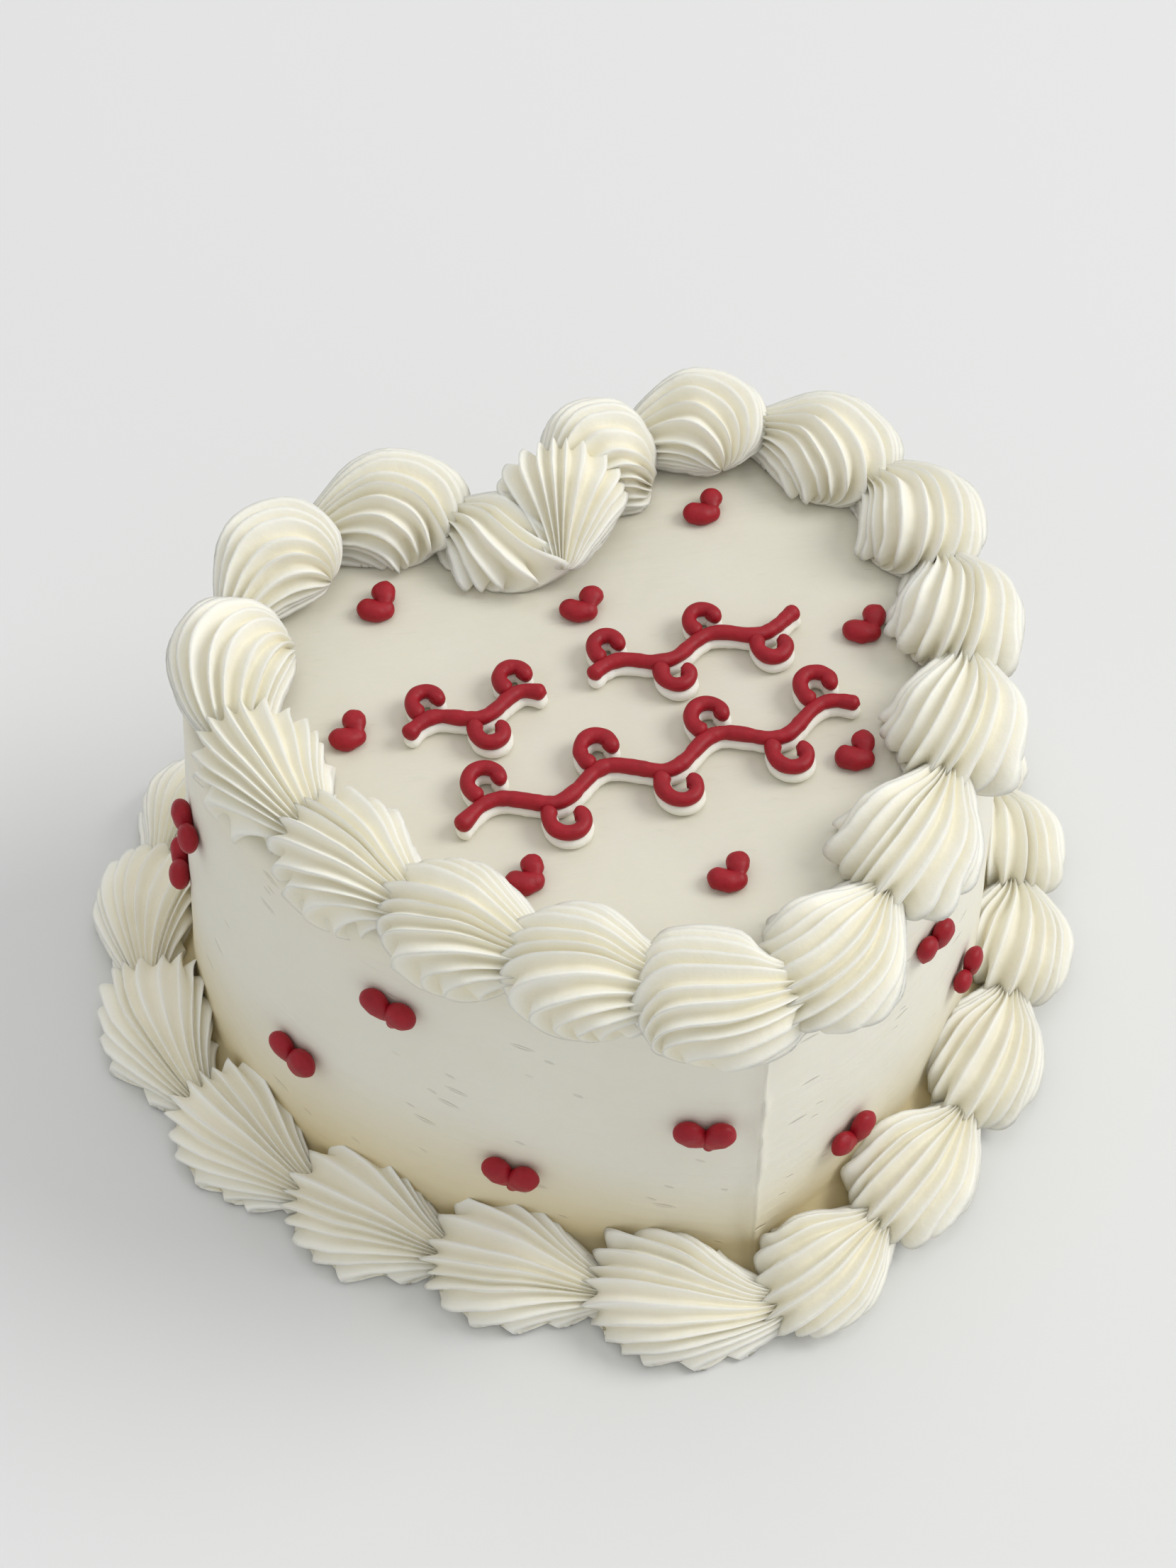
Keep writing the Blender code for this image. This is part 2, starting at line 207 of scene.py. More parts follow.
def border(lines, rise, left, right):
    lj = joints(side_path(lines[0], rise[0], True), left, False)
    rj = joints(side_path(lines[1], rise[1], False), right, True)
    tip, cleft = (lj[-1][0], np.array([1.0, 0])), (lj[0][0], np.array([-1.0, 0]))
    lj[0], lj[-1], rj[0], rj[-1] = cleft, tip, tip, cleft
    return ([(lj[i], lj[i + 1]) for i in range(len(lj) - 1)]
            + [(rj[i], rj[i + 1]) for i in range(len(rj) - 1)])


class Track:
    """Smooth line from one joint to the next, running straight on past both."""

    def __init__(self, ja, jb):
        (a, da), (b, db) = ja, jb
        n = np.linalg.norm(b - a)
        u = np.linspace(0, 1, 61)[:, None]
        self.p = (a * (2 * u ** 3 - 3 * u * u + 1) + b * (-2 * u ** 3 + 3 * u * u)
                  + da * ((u ** 3 - 2 * u * u + u) * n) + db * ((u ** 3 - u * u) * n))
        self.s = lengths_along(self.p)
        t = np.gradient(self.p, axis=0)
        self.t = t / np.linalg.norm(t, axis=1)[:, None]
        self.length = self.s[-1]

    def at(self, x, y):
        c = np.clip(x, 0, self.length)
        px, py = np.interp(c, self.s, self.p[:, 0]), np.interp(c, self.s, self.p[:, 1])
        tx, ty = np.interp(c, self.s, self.t[:, 0]), np.interp(c, self.s, self.t[:, 1])
        n = np.hypot(tx, ty)
        tx, ty = tx / n, ty / n
        return px + tx * (x - c) - ty * y, py + ty * (x - c) + tx * y


# ---------------------------------------------------------------- materials
def node_tree(name):
    m = bpy.data.materials.new(name)
    m.use_nodes = True
    nt = m.node_tree
    return m, nt, nt.nodes["Principled BSDF"]


def link(nt, a, b):
    nt.links.new(a, b)


def math_node(nt, op, a, b=None, c=None, clamp=False):
    n = nt.nodes.new("ShaderNodeMath")
    n.operation, n.use_clamp = op, clamp
    for i, v in enumerate((a, b, c)):
        if v is None:
            continue
        if isinstance(v, (int, float)):
            n.inputs[i].default_value = v
        else:
            link(nt, v, n.inputs[i])
    return n.outputs[0]


def mix_colour(nt, fac, a, b, mode="MIX"):
    n = nt.nodes.new("ShaderNodeMix")
    n.data_type, n.blend_type = "RGBA", mode
    if isinstance(fac, (int, float)):
        n.inputs[0].default_value = fac
    else:
        link(nt, fac, n.inputs[0])
    for sock, v in ((n.inputs[6], a), (n.inputs[7], b)):
        if isinstance(v, tuple):
            sock.default_value = (*v, 1.0)
        else:
            link(nt, v, sock)
    return n.outputs[2]


def noise_tex(nt, vec, scale, detail=3.0, rough=0.5, distort=0.0):
    n = nt.nodes.new("ShaderNodeTexNoise")
    n.inputs["Scale"].default_value = scale
    n.inputs["Detail"].default_value = detail
    n.inputs["Roughness"].default_value = rough
    n.inputs["Distortion"].default_value = distort
    link(nt, vec, n.inputs["Vector"])
    return n.outputs["Fac"]


def ramp(nt, fac, stops):
    n = nt.nodes.new("ShaderNodeValToRGB")
    el = n.color_ramp.elements
    while len(el) < len(stops):
        el.new(0.5)
    for e, (pos, col) in zip(el, stops):
        e.position = pos
        e.color = (*col, 1.0) if len(col) == 3 else col
    link(nt, fac, n.inputs[0])
    return n.outputs[0]


def map_range(nt, v, a, b, c=0.0, d=1.0):
    n = nt.nodes.new("ShaderNodeMapRange")
    link(nt, v, n.inputs[0])
    for i, x in enumerate((a, b, c, d), 1):
        n.inputs[i].default_value = x
    return n.outputs[0]


def bump(nt, height, strength, distance, normal=None):
    n = nt.nodes.new("ShaderNodeBump")
    n.inputs["Strength"].default_value = strength
    n.inputs["Distance"].default_value = distance
    link(nt, height, n.inputs["Height"])
    if normal is not None:
        link(nt, normal, n.inputs["Normal"])
    return n.outputs[0]


CREST = (0.890, 0.877, 0.800)
# painted shade: the warmer, darker colour given to the grooves between the ridges
GROOVE_SHADE = (0.850, 0.805, 0.640)
WALL = (0.812, 0.792, 0.690)
RED = (0.335, 0.0040, 0.0135)


def cream_shader(b, sss=0.12):
    b.inputs["Roughness"].default_value = 0.46
    b.inputs["Specular IOR Level"].default_value = 0.38
    b.inputs["Subsurface Weight"].default_value = sss
    b.inputs["Subsurface Radius"].default_value = (1.0, 0.72, 0.38)
    b.inputs["Subsurface Scale"].default_value = 0.0014
    b.inputs["Metallic"].default_value = 0.0


def cream_piping(name, crest=CREST, groove_shading=GROOVE_SHADE, seed=0.0):
    """Piped buttercream: pale crests with a faint painted highlight, painted warm shade in the grooves, faint streaks
    and pores.
    """
    m, nt, b = node_tree(name)
    cream_shader(b, 0.14)
    co = nt.nodes.new("ShaderNodeTexCoord").outputs["Object"]
    mp = nt.nodes.new("ShaderNodeMapping")
    mp.inputs["Location"].default_value = (seed * 0.137, seed * 0.071, seed * 0.193)
    link(nt, co, mp.inputs["Vector"])
    v = mp.outputs[0]
    at = nt.nodes.new("ShaderNodeAttribute")
    at.attribute_name = "groove_shading"
    uneven = noise_tex(nt, v, 260.0, 3.0, 0.55)
    shift = math_node(nt, "MULTIPLY_ADD", uneven, 0.34, -0.17)
    depth = math_node(nt, "ADD", at.outputs["Fac"], shift, clamp=True)
    # grooves get the painted shade colour, crests the pale cream, the very tops a faint painted highlight
    base = ramp(nt, depth, [(0.0, groove_shading), (0.34, tuple(0.5 * (a + c) for a, c in zip(groove_shading, crest))),
                            (0.78, crest), (1.0, tuple(min(1.0, c * 1.02) for c in crest))])
    tone = ramp(nt, noise_tex(nt, v, 90.0, 2.0, 0.5), [(0.25, (0.955, 0.950, 0.925)),
                                                       (0.75, (1.0, 1.0, 1.0))])
    col = mix_colour(nt, 1.0, base, tone, "MULTIPLY")
    link(nt, col, b.inputs["Base Color"])
    fine = noise_tex(nt, v, 2600.0, 4.0, 0.6)
    soft = noise_tex(nt, v, 620.0, 3.0, 0.5)
    n1 = bump(nt, soft, 0.55, 0.00022)
    n2 = bump(nt, fine, 0.35, 0.00006, n1)
    link(nt, n2, b.inputs["Normal"])
    r = map_range(nt, uneven, 0.2, 0.8, 0.40, 0.56)
    link(nt, r, b.inputs["Roughness"])
    return m


def cream_wall(name):
    """Smoothed buttercream: scrape pits with a little painted shade, painted warm shade near the foot and under the
    top border, and a painted darker top.
    """
    m, nt, b = node_tree(name)
    cream_shader(b, 0.12)
    co = nt.nodes.new("ShaderNodeTexCoord").outputs["Object"]
    flow = nt.nodes.new("ShaderNodeAttribute")
    flow.attribute_name = "flow"
    wall = nt.nodes.new("ShaderNodeAttribute")
    wall.attribute_name = "wallness"
    warm_shade = nt.nodes.new("ShaderNodeAttribute")
    warm_shade.attribute_name = "warm_shade"
    fv = flow.outputs["Vector"]

    def pits(angle, long_, short, scale, keep, size):
        mp = nt.nodes.new("ShaderNodeMapping")
        mp.vector_type = "TEXTURE"
        mp.inputs["Rotation"].default_value = (0, 0, math.radians(angle))
        mp.inputs["Scale"].default_value = (long_, short, 1.0)
        link(nt, fv, mp.inputs["Vector"])
        vo = nt.nodes.new("ShaderNodeTexVoronoi")
        vo.voronoi_dimensions = "2D"
        vo.inputs["Scale"].default_value = scale
        link(nt, mp.outputs[0], vo.inputs["Vector"])
        sep = nt.nodes.new("ShaderNodeSeparateColor")
        link(nt, vo.outputs["Color"], sep.inputs[0])
        chosen = map_range(nt, sep.outputs[0], keep, keep + 0.02)
        inside = map_range(nt, vo.outputs["Distance"], size * 0.35, size, 1.0, 0.0)
        return math_node(nt, "MULTIPLY", chosen, inside)

    big = pits(-14, 5.2, 1.0, 0.30, 0.78, 0.10)
    small = pits(-20, 3.4, 0.8, 0.50, 0.90, 0.12)
    both = math_node(nt, "MAXIMUM", big, math_node(nt, "MULTIPLY", small, 0.7))
    # the top carries fewer and fainter marks than the wall
    amount = math_node(nt, "MULTIPLY_ADD", wall.outputs["Fac"], 0.8, 0.2)
    pit = math_node(nt, "MULTIPLY", both, amount)

    base = ramp(nt, noise_tex(nt, co, 34.0, 2.0, 0.5), [(0.3, tuple(c * 0.975 for c in WALL)),
                                                        (0.7, tuple(min(1, c * 1.012) for c in WALL))])
    # painted warm shade: a darker, warmer colour mixed in by the shade mask
    base_with_shade = mix_colour(nt, warm_shade.outputs["Fac"], base, (0.760, 0.650, 0.400))
    cloud = ramp(nt, noise_tex(nt, co, 150.0, 3.0, 0.6), [(0.3, (0.985, 0.982, 0.965)),
                                                         (0.7, (1.0, 1.0, 1.0))])
    # painted shade: the flat top is darker than the wall, fading out across the rounded edge
    top_shade = ramp(nt, wall.outputs["Fac"], [(0.0, (0.868, 0.858, 0.838)), (1.0, (1.0, 1.0, 1.0))])
    cloud = mix_colour(nt, 1.0, cloud, top_shade, "MULTIPLY")
    col = mix_colour(nt, 1.0, base_with_shade, cloud, "MULTIPLY")
    # the pits are also darkened slightly in colour: painted shade inside them
    col = mix_colour(nt, math_node(nt, "MULTIPLY", pit, 0.11), col, (0.60, 0.57, 0.47))
    link(nt, col, b.inputs["Base Color"])
    smear = nt.nodes.new("ShaderNodeMapping")
    smear.vector_type = "TEXTURE"
    smear.inputs["Rotation"].default_value = (0, 0, math.radians(-9))
    smear.inputs["Scale"].default_value = (9.0, 1.1, 2.0)
    link(nt, fv, smear.inputs["Vector"])
    streak = noise_tex(nt, smear.outputs[0], 0.8, 3.0, 0.5)
    soft = noise_tex(nt, co, 420.0, 3.0, 0.5)
    n1 = bump(nt, streak, 0.35, 0.00030)
    n2 = bump(nt, soft, 0.30, 0.00012, n1)
    n3 = bump(nt, math_node(nt, "MULTIPLY", pit, -1.0), 0.7, 0.00036, n2)
    link(nt, n3, b.inputs["Normal"])
    r = map_range(nt, soft, 0.2, 0.8, 0.42, 0.55)
    link(nt, r, b.inputs["Roughness"])
    return m


def red_piping(name, seed=0.0):
    """Stiff red buttercream, matte, with a faintly grainy skin."""
    m, nt, b = node_tree(name)
    b.inputs["Specular IOR Level"].default_value = 0.34
    b.inputs["Subsurface Weight"].default_value = 0.02
    b.inputs["Subsurface Radius"].default_value = (1.0, 0.2, 0.15)
    b.inputs["Subsurface Scale"].default_value = 0.0006
    co = nt.nodes.new("ShaderNodeTexCoord").outputs["Object"]
    mp = nt.nodes.new("ShaderNodeMapping")
    mp.inputs["Location"].default_value = (seed * 0.11, seed * 0.23, seed * 0.05)
    link(nt, co, mp.inputs["Vector"])
    v = mp.outputs[0]
    blotch = noise_tex(nt, v, 520.0, 3.0, 0.6)
    grain = noise_tex(nt, v, 3200.0, 3.0, 0.65)
    base = ramp(nt, blotch, [(0.25, tuple(c * 0.84 for c in RED)), (0.55, RED),
                             (0.80, (RED[0] * 1.15, RED[1] * 1.9, RED[2] * 1.5))])
    fleck = ramp(nt, grain, [(0.35, (0.90, 0.90, 0.90)), (0.65, (1.0, 1.0, 1.0))])
    link(nt, mix_colour(nt, 1.0, base, fleck, "MULTIPLY"), b.inputs["Base Color"])
    n1 = bump(nt, noise_tex(nt, v, 900.0, 2.0, 0.5), 0.5, 0.00014)
    n2 = bump(nt, grain, 0.45, 0.00006, n1)
    link(nt, n2, b.inputs["Normal"])
    link(nt, map_range(nt, blotch, 0.2, 0.8, 0.42, 0.56), b.inputs["Roughness"])
    return m


mat_piping = [cream_piping("buttercream_piping_%d" % i, seed=i * 1.7) for i in range(3)]
# brighter copies of the piping for the left base shells: painted light on that side
mat_piping += [cream_piping("buttercream_lit_copy_%d" % i, (0.935, 0.922, 0.848), (0.890, 0.848, 0.700),
                            seed=6.0 + i * 1.3) for i in range(2)]
mat_wall = cream_wall("buttercream_wall")
mat_red = red_piping("red_piping", 0.0)
mat_red_b = red_piping("red_piping_deep", 3.0)


# ------------------------------------------------------------- iced body
def outline(grow, n):
    """Closed outline with n points evenly spaced, anticlockwise from the tip,
    and each point's share of the way round."""
    h = half_heart(grow, 90)
    right = h[::-1]
    left = (h * [-1, 1])[1:-1]
    pts = np.r_[right, left]
    loop = np.r_[pts, pts[:1]]
    s = lengths_along(loop)
    d = np.linspace(0, s[-1], n, endpoint=False)
    return np.c_[np.interp(d, s, loop[:, 0]), np.interp(d, s, loop[:, 1])], d


def iced_body():
    n = 720
    rows, kind = [], []
    straight = WALL_H - EDGE_R
    for z in np.r_[np.linspace(0, 5.4, 9)[:-1], np.linspace(5.4, straight, 34)]:
        rows.append((-LEAN * z / WALL_H + 5.4 * max(0.0, 1 - z / 5.4) ** 2, z))
        kind.append(1.0)
    lean_top = -LEAN
    for a in np.linspace(0, math.pi / 2, 8)[1:]:
        rows.append((lean_top - EDGE_R * (1 - math.cos(a)), straight + EDGE_R * math.sin(a)))
        kind.append(1.0 - a / (math.pi / 2))
    P, K, F = [], [], []
    for (g, z), k in zip(rows, kind):
        o, d = outline(g, n)
        P.append(np.c_[o, np.full(n, z)])
        K.append(np.full(n, k))
        F.append(np.c_[d, np.full(n, z), np.zeros(n)])
    edge = P[-1].copy()
    centre = np.array([0.0, -3.0, WALL_H])
    for s in np.linspace(1, 0.02, 30)[1:]:
        q = centre + (edge - centre) * s
        q[:, 2] = WALL_H
        P.append(q)
        K.append(np.zeros(n))
        F.append(np.c_[q[:, 0] * 1.0, q[:, 1] + 200.0, np.zeros(n)])
    P, K, F = np.array(P), np.array(K), np.array(F)
    N = -grid_normals(P, True)
    mid = P.reshape(-1, 3)
    # outward direction of the wall rows
    sign = np.sign((N[10, :, :2] * P[10, :, :2]).sum())
    N *= sign if sign else 1.0
    d = 0.22 * noise(mid / [21.0, 21.0, 15.0], 3) + 0.10 * noise(mid / [6.0, 6.0, 9.0], 5)
    d += 0.05 * noise(mid / [2.2, 2.2, 1.6], 7)
    d = d.reshape(P.shape[:2]) - 0.20
    # flat top: gentler, with a few shallow dents
    dents = np.zeros(P.shape[:2])
    for x, y, r, h in ((-12, 22, 5, 0.18), (-9, -2, 1.6, 0.30), (12, -1, 4, 0.12), (9, 18, 7, 0.14),
                       (-22, 2, 6, 0.12), (14, -34, 6, 0.14), (27, -18, 4, 0.12)):
        dents += h * np.exp(-(((P[..., 0] - x) ** 2 + (P[..., 1] - y) ** 2) / (r * r)))
    top = (P[..., 2] > WALL_H - 0.05)
    d = np.where(top, d * 0.7 - dents, d)
    # ragged ridge where the two flanks meet at the tip
    wave = noise(np.c_[np.zeros(len(mid)), mid[:, 1] * 0, mid[:, 2] / 3.1], 9).reshape(P.shape[:2])
    x_tip = P[..., 0] - 0.55 * wave
    near = (P[..., 1] < -40) & (~top)
    ragged = noise(mid / [0.9, 0.9, 1.3], 12).reshape(P.shape[:2])
    ridge = np.exp(-(x_tip / 0.55) ** 2) * (0.35 + 0.30 * ragged)
    d = np.where(near, d + ridge - 0.22 * np.exp(-((x_tip + 1.5) / 1.2) ** 2), d)
    Q = P + N * d[..., None]
    Q[0, :, 2] = 0.0
    Q[..., 2] = np.maximum(Q[..., 2], 0.0)
    rows_n = len(P)
    verts = np.r_[Q.reshape(-1, 3), [[0, -3, 0.0], [0, -3, Q[-1, :, 2].mean()]]]
    faces = [tuple(f) for f in grid_faces(rows_n, n)]
    base_c, top_c = rows_n * n, rows_n * n + 1
    last = (rows_n - 1) * n
    faces += [((j + 1) % n, j, base_c) for j in range(n)]
    faces += [(last + j, last + (j + 1) % n, top_c) for j in range(n)]
    # painted warm shade on the wall: a band above the foot where the base shells shade it, reaching higher on the
    # left flank, a faint band on the rounded top edge under the top shells, and full strength below the base shells
    z = verts[:, 2]
    flank = smooth((-verts[:, 0] - 4.0) / 28.0)
    low = np.clip((19.0 + 8.0 * flank - z) / (13.0 + 8.0 * flank), 0, 1) ** 1.2
    patch = 0.5 + 0.5 * noise(verts / [17.0, 17.0, 12.0], 21)
    high = np.clip((z - 47.5) / 6.0, 0, 1) * np.r_[K.ravel(), 0, 0]
    # the painted warm shade is strongest on the shaded left flank and faint on the window-lit right one
    west = 1.0 + 0.22 * flank - 0.45 * smooth((verts[:, 0] - 4.0) / 24.0)
    warm_shade = np.clip(low * (0.62 + 0.50 * patch) * west + high * 0.16 + np.clip((6.0 - z) / 3.0, 0, 1), 0, 1)
    build("cake_icing", verts, faces, [mat_wall],
          {"flow": np.r_[F.reshape(-1, 3), [[0, 0, 0], [0, 200, 0]]],
           "wallness": np.r_[K.ravel(), 1, 0], "warm_shade": warm_shade},
          ["cake_body"])


iced_body()


# ------------------------------------------------------------- piped shells
def piped_shell(name, track, seed, w_in, w_out, height, z0, drop, source,
                head=1.6, tail=3.0, ribs=23, depth=1.42, twist=0.35, taper=0.46, mid=1.12,
                lift=0.0, teeth=0.75, flare=0.9, flare_out=0.0, rise=0.0, floor=None,
                tail_drop=0.0, centre=0.37, crown=0.0,
                sink=(0.96, 0.0, -0.28), mat=0):
    """One star-tip shell.  Its ridges rise from a point under the head (source),
    run over the dome in arcs and pinch together at the tail (sink).
    y > 0 is the side towards the middle of the cake."""
    rg = np.random.default_rng(seed)
    S0, T0 = np.array(source, float), np.array(sink, float)
    S0, T0 = S0 / np.linalg.norm(S0), T0 / np.linalg.norm(T0)
    n = (S0 + T0) / np.linalg.norm(S0 + T0)
    beta = float(n @ S0)
    e = (T0 - S0) / np.linalg.norm(T0 - S0)
    g = np.cross(e, n)
    # rings of constant angle, spread evenly along the middle circle
    th = np.linspace(0, 2 * math.pi, 2001)
    dens = 1.0 / (1.0 + beta * np.cos(th))
    run = np.r_[0, np.cumsum(0.5 * (dens[1:] + dens[:-1]))]
    run /= run[-1]
    per = 9
    share = np.arange(ribs * per) / (ribs * per)
    phase = (share * ribs)[None, :]
    f = rg.uniform(0, 6.28, 4)
    wob = (0.010 * np.sin(2 * math.pi * share * 3 + f[0]) + 0.006 * np.sin(2 * math.pi * share * 5 + f[1])
           + 0.003 * np.sin(2 * math.pi * share * 9 + f[2]))
    angle = np.interp((share + wob) % 1.0, run, th)[None, :]
    # rows closer together where the ridges run far from both poles
    av = np.linspace(0, math.pi, 2001)
    dv = 1.0 / (1.0 - 0.9 * beta * np.sin(av))
    rv = np.r_[0, np.cumsum(0.5 * (dv[1:] + dv[:-1]))]
    a = np.interp(np.linspace(0.016, 0.984, 42), rv / rv[-1], av)[:, None]
    v = a / math.pi
    t2 = angle + twist * (v - 0.5)
    ca, sa = np.cos(a)[..., None], np.sin(a)[..., None]
    p = -ca * e + sa * (np.cos(t2)[..., None] * n + np.sin(t2)[..., None] * g)
    c = p @ n
    k = math.sqrt(1 - beta * beta) / (1 + beta * c)
    spacing = np.sin(a) * k * (1 + beta * np.cos(t2)) / math.sqrt(1 - beta * beta)
    p = (p - c[..., None] * n) * k[..., None] + n * ((c + beta) / (1 + beta * c))[..., None]
    # towards the middle of the cake the side stands straight up from its foot
    px, py, pz = p[..., 0], p[..., 1], p[..., 2]
    r_xy = np.sqrt(np.clip(1 - pz * pz, 1e-4, 1))
    r_new = np.sqrt(np.clip(1 - (np.clip(-pz - 0.86, 0, 0.14) / 0.14) ** 2, 1e-4, 1))
    to_in = smooth(py / r_xy * 0.8 + 0.5)
    inward = (flare * to_in + flare_out * (1 - to_in)) * (pz < 0)
    grow = 1 + (r_new / r_xy - 1) * inward
    px, py = px * grow, py * grow
    s = np.clip((px + 1) / 2, 0, 1) ** mid
    x_f, x_t = -head, track.length + tail
    full = 1 - taper * smooth((s - 0.36) / 0.58)
    full_z = 1 - 0.50 * smooth((s - 0.40) / 0.60)
    x = x_f + (x_t - x_f) * s
    y = np.where(py > 0, w_in, w_out) * py * full
    zc = height * centre * (1 - 0.45 * smooth((s - 0.45) / 0.55))
    outer = smooth(-y / (0.75 * w_out) + 0.15)
    below = zc + 0.4 + drop * outer * (1 - 0.7 * smooth((s - 0.55) / 0.4))
    z = zc + np.where(pz > 0, height * (1 - centre) * full_z, below) * pz
    up = lift * smooth(y / w_in) * (1 - 0.5 * s)
    P = np.stack([x, y, z + up], -1)
    nrm = grid_normals(P, True)
    if (nrm * np.stack([px, py, pz], -1)).sum() < 0:
        nrm = -nrm
    idx = np.round(phase).astype(int) % ribs
    q0 = np.sin(math.pi * phase) ** 2
    crest = 1 - ((q0 + 0.018) ** 0.50 - 0.018 ** 0.50) / (1.018 ** 0.50 - 0.018 ** 0.50)
    crest_f = rg.uniform(0.78, 1.12, ribs)[idx]
    tooth_f = rg.uniform(0.25, 1.30, ribs)[idx]
    body = np.clip(spacing / 0.85, 0, 1) ** 0.7
    amp = depth * body * (0.60 + 0.40 * full)
    S = P - nrm * (amp * (1 - crest * crest_f))[..., None]
    out = np.stack([px, py, 0 * px], -1)
    out /= np.maximum(np.linalg.norm(out, axis=-1, keepdims=True), 1e-6)
    out[..., 2] = rise * smooth(py * 1.4)
    front = smooth(-px * 1.4 - 0.05)
    foot = np.exp(-((z - 0.6 - 3.0 * front + 0.5 * drop * smooth(-py * 1.5)) / (1.8 + 0.7 * front)) ** 2)
    side = smooth(py * 1.6 + 0.1) + (0.25 + 0.45 * flare_out) * smooth(0.2 - py * 1.6)
    side = np.maximum(side, crown * front)
    S = S + out * (teeth * tooth_f * crest * foot * side * body)[..., None]
    rows, cols = S.shape[:2]
    flat = S.reshape(-1, 3)
    lump = 0.22 * noise(flat / 4.4 + seed, 31) + 0.09 * noise(flat / 1.5 + seed, 32)
    flat = flat + nrm.reshape(-1, 3) * lump[:, None]
    X, Y = track.at(flat[:, 0], flat[:, 1])
    fall = np.clip((flat[:, 0] - track.length + 3.0) / (tail + 3.0), 0, 1)
    V = np.c_[X, Y, flat[:, 2] + z0 - tail_drop * fall * fall * (3 - 2 * fall)]
    if floor is not None:
        V[:, 2] = np.maximum(V[:, 2], floor)
    faces = [tuple(q) for q in grid_faces(rows, cols)]
    last = (rows - 1) * cols
    V = np.r_[V, [V[last:].mean(0)], [V[:cols].mean(0)]]
    faces += [(last + j, last + (j + 1) % cols, len(V) - 2) for j in range(cols)]
    faces += [((j + 1) % cols, j, len(V) - 1) for j in range(cols)]
    # painted shade mask: low in the grooves, where the ridges crowd near the poles, and towards each shell's foot
    groove_shading = np.clip(crest * crest_f, 0, 1) ** 0.8 * (0.50 + 0.50 * np.clip(spacing * 1.3, 0, 1))
    groove_shading = groove_shading * np.clip(0.70 + 0.30 * (z + 1.0) / 2.5, 0.55, 1)
    f2 = [q[::-1] for q in faces] if shell_inward(V, faces) else faces
    build(name + "_piped", V, f2, [mat_piping[mat]], {"groove_shading": np.r_[groove_shading.ravel(), 0.5, 0.3]},
          [name])


def shell_inward(V, faces):
    """True if the faces of a closed skin point inwards."""
    q = np.array([f for f in faces if len(f) == 4])
    c = V.mean(0)
    a, b, d = V[q[:, 0]] - c, V[q[:, 1]] - c, V[q[:, 2]] - c
    e = V[q[:, 3]] - c
    vol = (np.cross(a, b) * d).sum() + (np.cross(a, d) * e).sum()
    return vol < 0


rng = np.random.default_rng(7)
# where each shell's ridges rise from (head end, inner side, up), twist, drop
TOP_SHAPE = {
    1: ((0.05, 0.25, -0.97), 0.35, 1.0), 2: ((0.00, 0.32, -0.95), 0.30, 1.0),
    3: ((-0.30, 0.88, -0.30), 0.40, 1.0), 4: ((-0.40, 0.80, -0.40), 0.30, 2.6),
    5: ((0.45, 0.05, -0.89), 0.20, 4.6), 6: ((0.48, 0.00, -0.88), 0.15, 4.0),
    7: ((0.40, -0.15, -0.90), 0.15, 3.0), 8: ((0.32, -0.28, -0.90), 0.15, 2.0),
    9: ((0.15, -0.38, -0.91), 0.15, 1.8), 10: ((0.05, 0.10, -0.99), 0.35, 1.6),
    11: ((0.20, 0.10, -0.97), 0.35, 0.7), 12: ((0.20, 0.15, -0.96), 0.45, 2.3),
    13: ((0.05, 0.20, -0.97), 0.40, 1.6), 14: ((0.05, 0.28, -0.96), 0.40, 1.0),
    15: ((0.00, 0.32, -0.95), 0.35, 1.2), 16: ((-0.28, 0.85, -0.40), 0.35, 1.2),
    17: ((-0.45, 0.50, -0.70), 0.35, 1.0), 18: ((-0.35, 0.0, -0.93), 0.15, 0.4),
}
SIDE = dict(taper=0.30, head=2.5, tail=3.8, ribs=21, flare_out=0.6, teeth=0.95, depth=1.62, crown=0.85,
            sink=(0.95, 0.0, 0.05))
EAST = dict(taper=0.46, teeth=1.9, crown=1.1, ribs=21, depth=1.55, flare_out=0.5, sink=(0.95, 0.0, 0.0))
BROAD = dict(ribs=20, depth=1.65)
TOP_MORE = {
    1: dict(BROAD, teeth=1.5, crown=0.3, w=0.86, head=0.2, height=0.82), 2: dict(BROAD, teeth=1.8, crown=0.5), 3: dict(BROAD, flare=0.3),
    4: dict(BROAD, flare=0.4, ribs=21, taper=0.24), 5: SIDE, 6: SIDE, 7: SIDE, 8: SIDE,
    14: dict(BROAD, ribs=21, teeth=1.7, crown=0.5), 15: dict(BROAD, teeth=1.7, crown=0.5), 16: dict(BROAD, flare=0.4),
    17: dict(height=1.12, w=1.06, tail=3.6, ribs=21, depth=1.5),
    18: dict(height=1.06, w=1.06, flare=0.5, ribs=21, depth=1.6),
    9: dict(tail=10.8, tail_drop=2.2, mid=1.72, taper=0.84, ribs=21, flare_out=0.5, teeth=0.9, depth=1.6,
            crown=0.7),
    10: dict(EAST, head=1.2, crown=0.5), 11: EAST, 12: dict(EAST, w_more=0.5), 13: EAST,
}
